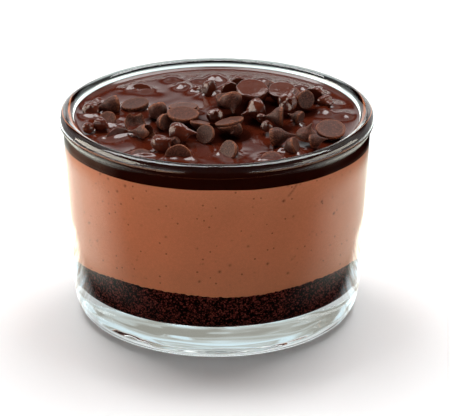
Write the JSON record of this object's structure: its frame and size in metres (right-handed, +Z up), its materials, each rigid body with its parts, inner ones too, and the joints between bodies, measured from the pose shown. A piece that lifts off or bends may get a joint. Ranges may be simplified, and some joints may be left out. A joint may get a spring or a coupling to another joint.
{
  "type": "chocolate mousse",
  "caption": "Chocolate mousse dessert in a small thick-based glass pot, layered over cake crumb and topped with dark sauce and chocolate chips.",
  "frame": {"origin": "middle of the glass pot's foot, on the surface it stands on", "axes": "+Z up along the pot's axis; -Y is the side that the dessert is usually seen from"},
  "size_m": [0.08, 0.08, 0.0582],
  "materials": {
    "pot_glass": "clear pressed glass, polished",
    "cake_crumb": "dry dark crumb",
    "mousse": "soft aerated cream",
    "dark_sauce": "wet gloss"
  },
  "bodies": {
    "root": {"glass_pot": "pot_glass", "crumb_base": "cake_crumb", "mousse": "mousse", "chocolate_sauce": "dark_sauce"}
  },
  "joints": []
}
